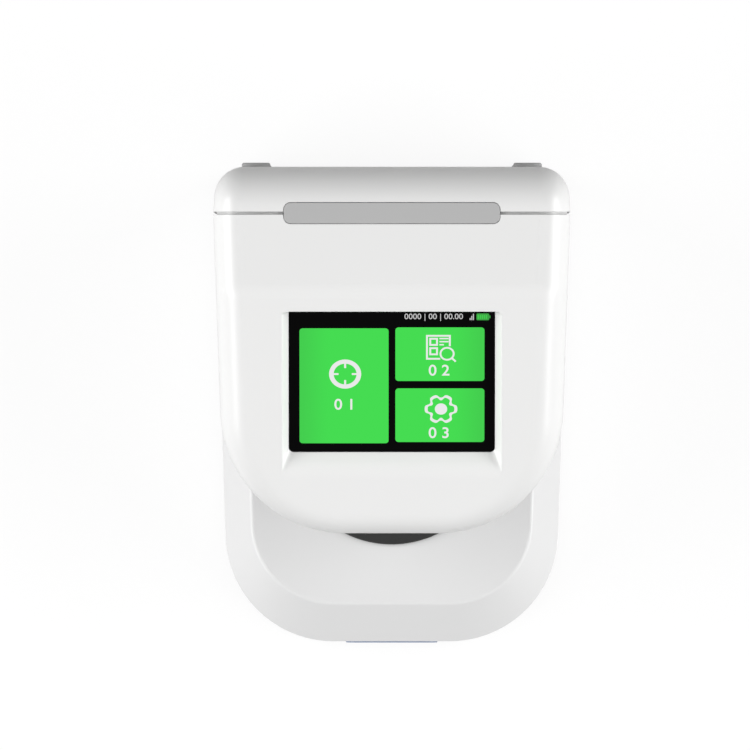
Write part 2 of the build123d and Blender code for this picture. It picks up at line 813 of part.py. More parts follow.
def make_sphere_lower():
    half = block((-big, big), (-big, big), (sphere_z - sphere_outer, sphere_z))
    shell = ball(sphere_outer) & half
    shell += ring(sphere_flange_radius, sphere_radius, sphere_flange, 0, axis_y, sphere_z - sphere_flange)
    shell += rod_y(detector_radius + detector_wall, sphere_outer, 0, axis_y, sphere_z - detector_drop)
    shell -= ball(sphere_radius)
    shell -= column(trap_radius, big / 4, 0, axis_y, sphere_z - big / 4)
    shell -= rod_y(detector_radius, sphere_outer, 0, axis_y, sphere_z - detector_drop)
    return one_solid(shell)


def make_light_trap():
    # black cup below the sphere, with a cone that throws stray light aside
    low = floor_z
    high = sphere_z - sqrt(sphere_outer**2 - (trap_radius + trap_wall) ** 2)
    cup = column(trap_radius + trap_wall, high - low, 0, axis_y, low)
    cup -= column(trap_radius, high - low - trap_wall, 0, axis_y, low + trap_wall)
    cone = Pos(0, axis_y, low + trap_wall) * Cone(trap_radius, trap_tip_radius, trap_cone_height,
                                                  align=(Align.CENTER, Align.CENTER, Align.MIN))
    return one_solid(cup + cone - ball(sphere_outer))


def make_detector():
    y = axis_y + sphere_outer
    z = sphere_z - detector_drop
    can = rod_y(detector_radius - lens_seat, detector_length / 2, 0, y - detector_length / 2, z)
    can += rod_y(detector_radius + detector_wall, detector_length / 3, 0, y, z)
    return can


def make_detector_board():
    y = axis_y + sphere_outer + detector_length / 3
    z = sphere_z - detector_drop
    half = detector_drop - sphere_flange - cover_clearance
    board = block((-detector_board_width / 2, detector_board_width / 2), (y, y + board_thickness),
                  (z - half, z + half))
    side = loom_plug / 2
    x = detector_board_width / 2 - loom_plug
    return board + block((x - side, x + side), (y + board_thickness, y + board_thickness + plug_depth),
                         (z - side, z + side))


# Light source in the head

def make_window_ring():
    bore = barrel_bore - barrel_ledge
    return ring(window_ring_radius, bore, window_ring_drop, 0, axis_y, underside_z - window_ring_drop)


def make_light_barrel():
    tube = column(barrel_radius, barrel_height, 0, axis_y, underside_z)
    tube += column(barrel_flange_radius, barrel_flange, 0, axis_y, upper_arm_z + arm_thickness)
    tube -= column(barrel_bore, barrel_height, 0, axis_y, underside_z)
    seat_z = underside_z + window_thickness
    for z in (seat_z, lens_z() - barrel_ledge):
        tube += ring(barrel_radius, barrel_bore - barrel_ledge, barrel_ledge, 0, axis_y, z)
    return one_solid(tube)


def lens_z():
    return underside_z + window_thickness + lens_gap


def make_exit_window():
    return column(barrel_bore - lens_seat, window_thickness, 0, axis_y, underside_z)


def lens_surface(r):
    # height of the domed face at radius r
    edge = barrel_bore - lens_seat
    rise = lens_height - lens_edge
    dome = (edge**2 + rise**2) / (2 * rise)
    return dome, lens_z() + lens_height - dome + sqrt(dome**2 - r**2)


def make_collimator_lens():
    # flat below, domed above
    lens = column(barrel_bore - lens_seat, lens_height, 0, axis_y, lens_z())
    dome, crown = lens_surface(0)
    return one_solid(lens & (Pos(0, axis_y, crown - dome) * Sphere(dome)))


def make_field_stop():
    # aperture disc, with a spacer tube that rests on the lens
    z = underside_z + barrel_height - stop_thickness
    seat = lens_surface(barrel_bore - barrel_ledge)[1]
    spacer = ring(barrel_bore - lens_seat, barrel_bore - barrel_ledge, z - seat, 0, axis_y, seat)
    return spacer + ring(barrel_bore - lens_seat, stop_radius, stop_thickness, 0, axis_y, z)


def make_led_board():
    z = underside_z + barrel_height
    disc = column(barrel_radius, board_thickness, 0, axis_y, z)
    reach = stop_thickness - lens_seat
    return disc + column(stop_radius - lens_seat, reach, 0, axis_y, z - reach)


def make_heat_sink():
    z = underside_z + barrel_height + board_thickness
    plate = column(barrel_radius, heat_sink_height / 3, 0, axis_y, z)
    pitch = 2 * barrel_radius / fin_count
    for i in range(fin_count):
        x = (i - (fin_count - 1) / 2) * pitch
        fin = block((x - fin_thickness / 2, x + fin_thickness / 2),
                    (axis_y - barrel_radius, axis_y + barrel_radius), (z, z + heat_sink_height))
        plate += fin & column(barrel_radius, heat_sink_height, 0, axis_y, z)
    return plate


# Inner frame

def make_inner_frame():
    # cast C frame that keeps lamp and sphere on one axis
    low, high = lower_arm_z, upper_arm_z + arm_thickness
    half_low, half_high = lower_arm_width / 2, upper_arm_width / 2
    back = spine_y
    frame = block((-half_low, half_low), (axis_y - arm_overhang, back), (low, low + arm_thickness))
    frame += block((-half_high, half_high), (axis_y - upper_overhang, back), (upper_arm_z, high))
    frame += block((-half_high, half_high), (back - arm_thickness, back), (low, high + spine_rise))
    for x in (-1, 1):
        crest = low + arm_thickness * 4
        rib = make_face(Polyline((back, low), (back - arm_thickness * 3, low + arm_thickness),
                                 (back - arm_thickness, crest), (back, crest), close=True))
        centre = x * (half_high - arm_thickness / 2)
        frame += extrude(Plane.YZ.offset(centre - arm_thickness / 2) * rib, arm_thickness)
        for y in (axis_y - leg_front, axis_y + leg_rear):
            frame += column(frame_leg_radius, low - floor_z, x * leg_spacing_x / 2, y, floor_z)
        for z in (high + wall, high + spine_rise - wall * 2):
            frame += rod_y(post_radius, main_board_gap, x * (half_high - arm_thickness * 2), back, z)
    frame -= column(sphere_outer + sphere_room, deck_z - low, 0, axis_y, low)
    frame -= column(barrel_radius + screw_clearance, arm_thickness, 0, axis_y, upper_arm_z)
    return one_solid(frame)


def sphere_screw_places():
    r = (sphere_outer + sphere_room + sphere_flange_radius) / 2
    return [(r * cos(radians(a)), axis_y + r * sin(radians(a))) for a in (45, 135, 225, 315)]


def make_sphere_screws():
    length = 2 * sphere_flange + arm_thickness
    items = []
    seat = sphere_z + sphere_flange + arm_thickness
    for x, y in sphere_screw_places():
        items.append(column(sphere_screw_radius, length, x, y, seat - length)
                     + column(sphere_screw_head_radius, sphere_screw_head_height, x, y, seat))
    return Compound(children=[i.solids()[0] for i in items])


def drill_sphere_screws(shape):
    for x, y in sphere_screw_places():
        shape -= column(sphere_screw_radius + lens_seat, big / 4, x, y, sphere_z - sphere_flange * 2)
    return one_solid(shape)


def cell_heights():
    return [lowest_cell_height + i * cell_pitch for i in range(cell_count)]


def make_battery_cells():
    y = spine_y + holder_margin - 1 + cell_radius
    cells = []
    for z in cell_heights():
        cell = rod_x(cell_radius, cell_length, -cell_length / 2, y, z)
        cell = fillet(cell.edges(), cell_edge_radius)
        cells.append(cell.solids()[0])
    return Compound(children=cells)


def make_battery_holder():
    y = spine_y + holder_margin - 1 + cell_radius
    heights = cell_heights()
    reach = cell_length / 2 + holder_margin
    low, high = heights[0] - cell_radius - 1, heights[-1] + cell_radius + 1
    body = block((-reach, reach), (spine_y, spine_y + holder_depth), (low, high))
    for z in heights:
        body -= rod_x(cell_radius + cell_clearance, cell_length + 2 * cell_clearance,
                      -cell_length / 2 - cell_clearance, y, z)
    return one_solid(body)


def main_board_low():
    return upper_arm_z + arm_thickness - 1


def make_main_board():
    y = spine_y + main_board_gap
    low = main_board_low()
    half = main_board_width / 2
    board = block((-half, half), (y, y + board_thickness), (low, low + main_board_height))
    back = y + board_thickness
    for x, z, wide, tall, deep in board_parts.values():
        heights = (low + z - tall / 2, low + z + tall / 2)
        board += block((x - wide / 2, x + wide / 2), (back, back + deep), heights)
    return board


def behind_slope(along, depth):
    # point in the YZ plane, by distance from the bend and depth below the slope
    return (bend_y - along * cos(slope) + depth * sin(slope), top_z - along * sin(slope) - depth * cos(slope))


def make_display_ribbon():
    # flat cable out of the display's back, through its frame, to the main board
    back = pocket_depth + glass_thickness + glass_ledge + display_thickness
    clear = back + display_frame_thickness + ribbon_gap
    along = pocket_from_bend + screen_length * 0.3
    board_y = spine_y + main_board_gap
    board_z = main_board_low() + main_board_height - wall * 3
    path = Polyline(behind_slope(along, back), behind_slope(along, clear),
                    behind_slope(pocket_from_bend, clear), (board_y - wall * 2, board_z), (board_y, board_z))
    return extrude(Plane.YZ * trace(path, ribbon_thickness), ribbon_width / 2, both=True)


def make_column_cable():
    # loom from the main board down the column to the detector board
    x, plug_z, wide, tall, deep = board_parts["loom_socket"]
    y = spine_y + main_board_gap + board_thickness + deep / 2
    side = button_board_x() - board_thickness - loom_room - cable_radius
    top = main_board_low() + plug_z - tall / 2
    z = sphere_z - detector_drop
    end_x = detector_board_width / 2 - loom_plug
    end_y = axis_y + sphere_outer + detector_length / 3 + board_thickness + plug_depth
    points = [(x, y, top), (x, y, top - 2 * loom_bend), (side, y, top - 3 * loom_bend),
              (side, y, z + 2 * loom_bend), (side, y - 8, z), (end_x + 8, end_y + 12, z),
              (end_x, end_y + 7, z), (end_x, end_y, z)]
    path = FilletPolyline(*points, radius=[4.0, 5.0, 7.0, 6.0, 5.0, 4.0])
    return sweep(Plane(origin=path @ 0, z_dir=path % 0) * Circle(cable_radius), path=path)


makers = {
    "base_shell": make_base_shell,
    "base_plate": make_base_plate,
    "base_feet": make_base_feet,
    "base_screws": make_base_screws,
    "head_shell": make_head_shell,
    "head_underside": make_head_underside,
    "underside_screws": make_underside_screws,
    "rear_cover": make_rear_cover,
    "rear_screws": make_rear_screws,
    "rear_feet": make_rear_feet,
    "cover_glass": make_cover_glass,
    "display_module": make_display_module,
    "display_frame": make_display_frame,
    "display_ribbon": make_display_ribbon,
    "port_cover": make_port_cover,
    "port_panel": make_port_panel,
    "usb_socket": make_usb_socket,
    "dc_socket": make_dc_socket,
    "port_board": make_port_board,
    "measure_key": make_measure_key,
    "key_board": make_key_board,
    "power_button": make_power_button,
    "power_board": make_power_board,
    "sample_stage": make_sample_stage,
    "port_ring": make_port_ring,
    "sphere_upper": lambda: drill_sphere_screws(make_sphere_upper()),
    "sphere_lower": lambda: drill_sphere_screws(make_sphere_lower()),
    "sphere_screws": make_sphere_screws,
    "light_trap": make_light_trap,
    "detector": make_detector,
    "detector_board": make_detector_board,
    "window_ring": make_window_ring,
    "light_barrel": make_light_barrel,
    "exit_window": make_exit_window,
    "collimator_lens": make_collimator_lens,
    "field_stop": make_field_stop,
    "led_board": make_led_board,
    "heat_sink": make_heat_sink,
    "inner_frame": lambda: drill_sphere_screws(make_inner_frame()),
    "battery_cells": make_battery_cells,
    "battery_holder": make_battery_holder,
    "main_board": make_main_board,
    "column_cable": make_column_cable,
}

os.makedirs("parts", exist_ok=True)
for name, make in makers.items():
    export_step(make(), f"parts/{name}.step")
    print(name)
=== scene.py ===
import bpy
import bmesh
import math
from mathutils import Matrix, Vector


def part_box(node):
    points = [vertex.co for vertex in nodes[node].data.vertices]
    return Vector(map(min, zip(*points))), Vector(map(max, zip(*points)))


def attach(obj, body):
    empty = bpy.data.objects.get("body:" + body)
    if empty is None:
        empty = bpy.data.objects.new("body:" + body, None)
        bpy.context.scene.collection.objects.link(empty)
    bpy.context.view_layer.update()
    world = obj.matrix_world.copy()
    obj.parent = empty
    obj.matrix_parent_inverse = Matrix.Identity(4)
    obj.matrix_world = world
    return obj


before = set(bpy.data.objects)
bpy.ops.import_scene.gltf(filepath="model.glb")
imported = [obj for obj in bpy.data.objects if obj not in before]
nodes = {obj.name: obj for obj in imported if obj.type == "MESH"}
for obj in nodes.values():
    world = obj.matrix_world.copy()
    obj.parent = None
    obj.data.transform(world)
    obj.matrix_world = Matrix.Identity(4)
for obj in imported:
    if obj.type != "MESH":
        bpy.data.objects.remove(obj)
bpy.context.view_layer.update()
mm = 0.001
metre = 1000.0      # in millimetres
print("frame loaded:", len(nodes), "nodes")

# camera: straight above the bench, a long lens, the object's axis a little right of the middle
cameraSet = {
    "framePixels": 750,
    "mmPerPixel": 0.34,
    "axisPixel": 391.8,       # pixel column of the object's middle plane
    "originPixel": 403.9,     # pixel row of the object's origin
    "lens": 1700.0,
    "sensor": 36.0,
    "meanHeight": 0.135,      # height at which the scale is exact
    "clipStart": 0.1,
    "clipShare": 3,           # how far it sees, in camera distances
}


def addObject(name, data):
    thing = bpy.data.objects.new(name, data)
    bpy.context.collection.objects.link(thing)
    return thing


def makeCamera():
    half = cameraSet["framePixels"] / 2
    scale = cameraSet["mmPerPixel"] * mm
    distance = cameraSet["lens"] * cameraSet["framePixels"] * scale / cameraSet["sensor"]
    data = bpy.data.cameras.new("camera")
    data.lens = cameraSet["lens"]
    data.sensor_width = cameraSet["sensor"]
    data.clip_start = cameraSet["clipStart"]
    data.clip_end = distance * cameraSet["clipShare"]
    camera = addObject("camera", data)
    x = (half - cameraSet["axisPixel"]) * scale
    y = (cameraSet["originPixel"] - half) * scale
    camera.location = (x, y, distance + cameraSet["meanHeight"])
    bpy.context.scene.camera = camera


# a node with its settings, and its inputs as numbers or as links
def addNode(tree, kind, inputs=None, **settings):
    node = tree.nodes.new(kind)
    for key, value in settings.items():
        setattr(node, key, value)
    for key, value in (inputs or {}).items():
        if isinstance(value, bpy.types.NodeSocket):
            tree.links.new(value, node.inputs[key])
        else:
            node.inputs[key].default_value = value
    return node


def calc(tree, operation, first, second=0.0, clamp=False):
    node = addNode(tree, "ShaderNodeMath", {0: first, 1: second}, operation=operation, use_clamp=clamp)
    return node.outputs[0]


def objectPlace(tree):
    return addNode(tree, "ShaderNodeTexCoord").outputs["Object"]


# the texture scale that makes a pattern this many millimetres large
def scaleFor(tree, size):
    return calc(tree, "DIVIDE", metre, size)


edgeSamples = 4


def softEdge(tree, radius):
    return addNode(tree, "ShaderNodeBevel", {"Radius": radius}, samples=edgeSamples).outputs["Normal"]


def newGroup(name, inputs, outputs):
    group = bpy.data.node_groups.new(name, "ShaderNodeTree")
    for label, value in inputs.items():
        socket = group.interface.new_socket(name=label, in_out="INPUT", socket_type="NodeSocketFloat")
        socket.default_value = value
    for label in outputs:
        group.interface.new_socket(name=label, in_out="OUTPUT", socket_type="NodeSocketFloat")
    start = group.nodes.new("NodeGroupInput")
    end = group.nodes.new("NodeGroupOutput")
    return group, start.outputs, end


# moulded grain: fine height, and broad patches for colour and roughness
grainSet = {"size": 0.4, "detail": 3.0, "roughness": 0.6, "patchSize": 25.0, "patchDetail": 4.0}


def makeGrainGroup():
    inputs = {"Size": grainSet["size"], "Patch Size": grainSet["patchSize"]}
    group, given, end = newGroup("grain", inputs, ["Height", "Patch"])
    where = objectPlace(group)
    fine = scaleFor(group, given["Size"])
    broad = scaleFor(group, given["Patch Size"])
    noise = addNode(group, "ShaderNodeTexNoise",
                    {"Vector": where, "Scale": fine, "Detail": grainSet["detail"],
                     "Roughness": grainSet["roughness"]})
    patch = addNode(group, "ShaderNodeTexNoise",
                    {"Vector": where, "Scale": broad, "Detail": grainSet["patchDetail"]})
    group.links.new(noise.outputs["Fac"], end.inputs["Height"])
    group.links.new(patch.outputs["Fac"], end.inputs["Patch"])
    return group


# edge mask, broken up so that it looks handled: rubbed wear on dark, coloured and metal parts, and a painted
# edge highlight on the white parts
edgeWearAndHighlightSet = {"width": 0.5, "gain": 4.0, "spotScale": 320.0, "spotDetail": 5.0}


def makeEdgeWearAndHighlightGroup():
    inputs = {"Width": edgeWearAndHighlightSet["width"], "Gain": edgeWearAndHighlightSet["gain"]}
    group, given, end = newGroup("edgeWearAndHighlight", inputs, ["Mask"])
    where = objectPlace(group)
    rounded = softEdge(group, calc(group, "MULTIPLY", given["Width"], mm))
    flat = addNode(group, "ShaderNodeNewGeometry").outputs["Normal"]
    same = addNode(group, "ShaderNodeVectorMath", {0: rounded, 1: flat}, operation="DOT_PRODUCT")
    turn = calc(group, "SUBTRACT", 1.0, same.outputs["Value"])
    gain = calc(group, "MULTIPLY", turn, given["Gain"])
    spots = addNode(group, "ShaderNodeTexNoise",
                    {"Vector": where, "Scale": edgeWearAndHighlightSet["spotScale"], "Detail": edgeWearAndHighlightSet["spotDetail"]})
    mask = calc(group, "MULTIPLY", gain, spots.outputs["Fac"], clamp=True)
    group.links.new(mask, end.inputs["Mask"])
    return group


# grooves and corners: a mask that darkens pale and coloured finishes there as painted shade, and lightens
# black ones as dust
creviceDustAndShadeSet = {"reach": 2.0, "power": 1.6, "samples": 8}


def makeCreviceDustAndShadeGroup():
    inputs = {"Reach": creviceDustAndShadeSet["reach"], "Power": creviceDustAndShadeSet["power"]}
    group, given, end = newGroup("creviceDustAndShade", inputs, ["Mask"])
    # the mask is 1 where nearby surfaces close in, as in grooves and corners, and feeds painted shade
    reach = calc(group, "MULTIPLY", given["Reach"], mm)
    openness = addNode(group, "ShaderNodeAmbientOcclusion", {"Distance": reach},
                       samples=creviceDustAndShadeSet["samples"])
    closed = calc(group, "SUBTRACT", 1.0, openness.outputs["AO"])
    mask = calc(group, "POWER", closed, given["Power"], clamp=True)
    group.links.new(mask, end.inputs["Mask"])
    return group


# fine parallel scratches: an axis with a small share is the one they run along
brushSet = {"size": 0.1, "along": (1.0, 1.0, 0.03), "detail": 2.0}


def makeBrushGroup():
    inputs = {"Size": brushSet["size"]}
    inputs.update(("Along " + axis, share) for axis, share in zip("XYZ", brushSet["along"]))
    group, given, end = newGroup("brush", inputs, ["Height"])
    where = objectPlace(group)
    stretch = addNode(group, "ShaderNodeCombineXYZ", {axis: given["Along " + axis] for axis in "XYZ"})
    drawn = addNode(group, "ShaderNodeVectorMath", {0: where, 1: stretch.outputs[0]}, operation="MULTIPLY")
    fine = scaleFor(group, given["Size"])
    noise = addNode(group, "ShaderNodeTexNoise",
                    {"Vector": drawn.outputs[0], "Scale": fine, "Detail": brushSet["detail"]})
    group.links.new(noise.outputs["Fac"], end.inputs["Height"])
    return group


grain = makeGrainGroup()
edgeWearAndHighlight = makeEdgeWearAndHighlightGroup()
creviceDustAndShade = makeCreviceDustAndShadeGroup()
brush = makeBrushGroup()
print("node groups built")


def newMaterial(name):
    mat = bpy.data.materials.new(name)
    mat.use_nodes = True
    return mat, mat.node_tree, mat.node_tree.nodes["Principled BSDF"]


def mixed(tree, factor, first, second):
    blend = addNode(tree, "ShaderNodeMixRGB", {"Fac": factor, "Color1": first, "Color2": second})
    return blend.outputs["Color"]


def ranged(tree, value, low, high):
    return addNode(tree, "ShaderNodeMapRange", {"Value": value, "To Min": low, "To Max": high}).outputs[0]


def dimmed(colour, share):
    return tuple(c * share for c in colour[:3]) + (1.0,)


# every finish: colour, gloss, grain size and depth in mm, edge wear that is a painted edge highlight on
# white parts, and crevice dust that darkens as painted shade except on black parts
plainFinish = {
    "colour": (0.5, 0.5, 0.5), "metal": 0.0, "rough": 0.45, "spread": 0.06, "gloss": 0.5,
    "grain": 0.35, "depth": 0.004, "patch": 28.0, "shade": 0.97, "round": 0.25,
    "edgeWornAndLit": 1.06, "edgeWearAndHighlightWidth": 0.5, "edgeWearAndHighlightGain": 3.0, "dustAndShade": 0.75, "dustAndShadeReach": 1.6, "brushed": None,
}
finishes = {
    "whiteShell": {"colour": (0.83, 0.83, 0.825), "rough": 0.32, "spread": 0.05, "gloss": 0.5,
                   "shade": 0.985, "grain": 0.30, "depth": 0.003, "dustAndShade": 0.42, "dustAndShadeReach": 1.3,
                   "round": 0.3},
    # the base's white is a darker copy of the shell white: painted shade for the head's shade over the base
    "baseWhitePaintedShade": {"colour": (0.73, 0.73, 0.73), "rough": 0.36, "spread": 0.05, "gloss": 0.5,
                  "shade": 0.985, "grain": 0.30, "depth": 0.003, "dustAndShade": 0.42, "dustAndShadeReach": 1.3,
                  "round": 0.3},
    "whiteKey": {"colour": (0.80, 0.80, 0.80), "rough": 0.32, "grain": 0.22, "depth": 0.002, "dustAndShade": 0.5},
    "coverGrey": {"colour": (0.47, 0.47, 0.47), "rough": 0.62, "gloss": 0.3, "grain": 0.25, "depth": 0.006,
                  "edgeWornAndLit": 1.15, "dustAndShade": 0.55, "dustAndShadeReach": 0.8, "round": 0.15},
    "keyBlue": {"colour": (0.315, 0.375, 0.52), "rough": 0.30, "grain": 0.22, "depth": 0.002, "edgeWornAndLit": 1.2,
                "dustAndShade": 0.6, "dustAndShadeReach": 0.8, "round": 0.15},
    "blackPlastic": {"colour": (0.022, 0.022, 0.022), "rough": 0.55, "gloss": 0.3, "depth": 0.006,
                     "edgeWornAndLit": 1.8, "dustAndShade": 1.2},
    "footRubber": {"colour": (0.42, 0.42, 0.42), "rough": 0.78, "spread": 0.08, "gloss": 0.2, "grain": 0.2,
                   "depth": 0.01, "edgeWornAndLit": 1.25, "dustAndShade": 0.8},
    "zincSteel": {"colour": (0.62, 0.62, 0.63), "metal": 1.0, "rough": 0.33, "depth": 0.003, "edgeWornAndLit": 1.2,
                  "brushed": (1.0, 1.0, 0.05)},
    "castAluminium": {"colour": (0.60, 0.61, 0.62), "metal": 1.0, "rough": 0.48, "spread": 0.1,
                      "grain": 0.7, "depth": 0.03, "edgeWornAndLit": 1.25, "shade": 0.88},
    "anodisedBlack": {"colour": (0.028, 0.028, 0.032), "metal": 0.6, "rough": 0.38, "grain": 0.12,
                      "depth": 0.002, "edgeWornAndLit": 3.0, "edgeWearAndHighlightWidth": 0.25, "dustAndShade": 1.3},
    "bariumWhite": {"colour": (0.88, 0.88, 0.87), "rough": 0.9, "gloss": 0.1, "grain": 0.5, "depth": 0.02},
    "displayMetal": {"colour": (0.55, 0.55, 0.56), "metal": 1.0, "rough": 0.36, "brushed": (0.04, 1.0, 1.0),
                     "depth": 0.003},
    "cellWrap": {"colour": (0.06, 0.18, 0.42), "rough": 0.28, "grain": 3.0, "depth": 0.02, "shade": 0.85},
    "cableBlack": {"colour": (0.025, 0.025, 0.026), "rough": 0.6, "brushed": (1.0, 1.0, 0.1),
                   "depth": 0.02},
    "ribbonFilm": {"colour": (0.50, 0.24, 0.05), "rough": 0.3, "brushed": (1.0, 0.03, 0.03),
                   "depth": 0.006},
}


def makeFinish(name):
    spec = {**plainFinish, **finishes[name]}
    mat, tree, shader = newMaterial(name)
    base = spec["colour"] + (1.0,)
    skin = addNode(tree, "ShaderNodeGroup", {"Size": spec["grain"], "Patch Size": spec["patch"]},
                   node_tree=grain)
    edgeWearAndHighlightNode = addNode(tree, "ShaderNodeGroup", {"Width": spec["edgeWearAndHighlightWidth"], "Gain": spec["edgeWearAndHighlightGain"]},
                  node_tree=edgeWearAndHighlight)
    dustAndShade = addNode(tree, "ShaderNodeGroup", {"Reach": spec["dustAndShadeReach"]}, node_tree=creviceDustAndShade)
    patchy = mixed(tree, skin.outputs["Patch"], base, dimmed(base, spec["shade"]))
    # lighter edges: rubbed wear, and on white parts a painted edge highlight
    wornAndHighlit = mixed(tree, edgeWearAndHighlightNode.outputs["Mask"], patchy, dimmed(base, spec["edgeWornAndLit"]))
    # grooves and corners darker as painted shade, and lighter as dust on black parts
    dustedAndShaded = mixed(tree, dustAndShade.outputs["Mask"], wornAndHighlit, dimmed(base, spec["dustAndShade"]))
    shader.inputs["Metallic"].default_value = spec["metal"]
    shader.inputs["Specular IOR Level"].default_value = spec["gloss"]
    tree.links.new(dustedAndShaded, shader.inputs["Base Color"])
    low, high = (spec["rough"] + side * spec["spread"] for side in (-1, 1))
    tree.links.new(ranged(tree, skin.outputs["Patch"], low, high), shader.inputs["Roughness"])
    height = skin.outputs["Height"]
    if spec["brushed"]:
        along = {"Along " + axis: share for axis, share in zip("XYZ", spec["brushed"])}
        height = addNode(tree, "ShaderNodeGroup", along, node_tree=brush).outputs["Height"]
    edge = softEdge(tree, spec["round"] * mm)
    bump = addNode(tree, "ShaderNodeBump",
                   {"Height": height, "Distance": spec["depth"] * mm, "Strength": 1.0, "Normal": edge})
    tree.links.new(bump.outputs["Normal"], shader.inputs["Normal"])
    return mat


# circuit board: solder mask, with copper tracks between the cells of a slightly uneven grid
boardSet = {"mask": (0.012, 0.11, 0.05, 1.0), "track": (0.03, 0.20, 0.09, 1.0), "trackPitch": 1.3,
            "shift": 0.35, "trackFrom": 0.42, "trackDepth": 0.03, "roughLow": 0.28, "roughHigh": 0.4}


def makeBoardMaterial():
    mat, tree, shader = newMaterial("circuitBoard")
    cells = addNode(tree, "ShaderNodeTexVoronoi",
                    {"Vector": objectPlace(tree), "Scale": metre / boardSet["trackPitch"],
                     "Randomness": boardSet["shift"]},
                    distance="MANHATTAN", feature="F1").outputs["Distance"]
    tracks = calc(tree, "GREATER_THAN", cells, boardSet["trackFrom"])
    tree.links.new(mixed(tree, tracks, boardSet["mask"], boardSet["track"]), shader.inputs["Base Color"])
    rough = ranged(tree, tracks, boardSet["roughLow"], boardSet["roughHigh"])
    tree.links.new(rough, shader.inputs["Roughness"])
    bump = addNode(tree, "ShaderNodeBump", {"Height": tracks, "Distance": boardSet["trackDepth"] * mm})
    tree.links.new(bump.outputs["Normal"], shader.inputs["Normal"])
    return mat


# clear optics with a faint coating
opticSet = {"tint": (0.93, 0.96, 0.97, 1.0), "ior": 1.5, "smear": 6.0, "roughLow": 0.01, "roughHigh": 0.05}


def makeClearGlass():
    mat, tree, shader = newMaterial("clearGlass")
    shader.inputs["Base Color"].default_value = opticSet["tint"]
    shader.inputs["Transmission Weight"].default_value = 1.0
    shader.inputs["IOR"].default_value = opticSet["ior"]
    smears = addNode(tree, "ShaderNodeGroup", {"Size": opticSet["smear"]}, node_tree=grain)
    rough = ranged(tree, smears.outputs["Patch"], opticSet["roughLow"], opticSet["roughHigh"])
    tree.links.new(rough, shader.inputs["Roughness"])
    return mat


# black printed touch glass: smooth, with finger smears in its roughness
glassSet = {"black": (0.0008, 0.0008, 0.0009, 1.0), "smeared": 1.25, "gloss": 0.03, "smear": 2.5,
            "patch": 14.0, "roughLow": 0.05, "roughHigh": 0.16, "round": 0.2}


def makeScreenGlass():
    mat, tree, shader = newMaterial("screenGlass")
    shader.inputs["Specular IOR Level"].default_value = glassSet["gloss"]
    smears = addNode(tree, "ShaderNodeGroup", {"Size": glassSet["smear"], "Patch Size": glassSet["patch"]},
                     node_tree=grain).outputs["Patch"]
    tint = mixed(tree, smears, glassSet["black"], dimmed(glassSet["black"], glassSet["smeared"]))
    tree.links.new(tint, shader.inputs["Base Color"])
    rough = ranged(tree, smears, glassSet["roughLow"], glassSet["roughHigh"])
    tree.links.new(rough, shader.inputs["Roughness"])
    tree.links.new(softEdge(tree, glassSet["round"] * mm), shader.inputs["Normal"])
    return mat


# lit display areas: light only, darker towards the screen's left and right ends, on a fine dot raster
litSet = {
    "tileGreen": {"colour": (0.0612, 0.7230, 0.0844), "ends": (0.0580, 0.6150, 0.0780)},
    "iconWhite": {"colour": (0.83, 0.83, 0.83), "ends": (0.78, 0.78, 0.78)},
    "statusGrey": {"colour": (0.60, 0.60, 0.60), "ends": (0.55, 0.55, 0.55)},
    "batteryGreen": {"colour": (0.05, 0.42, 0.06), "ends": (0.05, 0.36, 0.06)},
}
rasterSet = {"pitch": 0.22, "bright": 1.02, "dark": 0.96, "roughLow": 0.3, "roughHigh": 0.5,
             "fadeFrom": 20.0, "fadeTo": 33.0}


def makeLitMaterial(name):
    spec = litSet[name]
    mat, tree, shader = newMaterial(name)
    shader.inputs["Base Color"].default_value = (0.0, 0.0, 0.0, 1.0)
    shader.inputs["Specular IOR Level"].default_value = 0.0
    shader.inputs["Emission Strength"].default_value = 1.0
    where = objectPlace(tree)
    x = addNode(tree, "ShaderNodeSeparateXYZ", {0: where}).outputs["X"]
    side = calc(tree, "ABSOLUTE", x)
    fade = addNode(tree, "ShaderNodeMapRange",
                   {"Value": side, "From Min": rasterSet["fadeFrom"] * mm,
                    "From Max": rasterSet["fadeTo"] * mm},
                   interpolation_type="SMOOTHSTEP").outputs[0]
    dots = addNode(tree, "ShaderNodeTexVoronoi",
                   {"Vector": where, "Scale": metre / rasterSet["pitch"],
                    "Randomness": 0.0}).outputs["Distance"]
    light = mixed(tree, fade, spec["colour"] + (1.0,), spec["ends"] + (1.0,))
    cell = ranged(tree, dots, rasterSet["bright"], rasterSet["dark"])
    lit = addNode(tree, "ShaderNodeVectorMath", {0: light, "Scale": cell}, operation="SCALE").outputs[0]
    tree.links.new(lit, shader.inputs["Emission Color"])
    rough = ranged(tree, dots, rasterSet["roughLow"], rasterSet["roughHigh"])
    tree.links.new(rough, shader.inputs["Roughness"])
    return mat


# which finish each part has
wearing = {
    "whiteShell": ["head_shell", "head_underside", "rear_cover"],
    "baseWhitePaintedShade": ["base_shell", "base_plate"],
    "whiteKey": ["power_button"],
    "coverGrey": ["port_cover"],
    "keyBlue": ["measure_key"],
    "blackPlastic": ["sample_stage", "port_panel", "dc_socket", "battery_holder"],
    "footRubber": ["base_feet", "rear_feet"],
    "zincSteel": ["base_screws", "underside_screws", "rear_screws", "sphere_screws", "usb_socket"],
    "castAluminium": ["inner_frame", "heat_sink"],
    "anodisedBlack": ["port_ring", "window_ring", "light_barrel", "field_stop", "light_trap", "detector"],
    "bariumWhite": ["sphere_upper", "sphere_lower"],
    "displayMetal": ["display_module", "display_frame"],
    "cellWrap": ["battery_cells"],
    "cableBlack": ["column_cable"],
    "ribbonFilm": ["display_ribbon"],
    "circuitBoard": ["main_board", "key_board", "power_board", "port_board", "detector_board", "led_board"],
    "clearGlass": ["exit_window", "collimator_lens"],
    "screenGlass": ["cover_glass"],
}
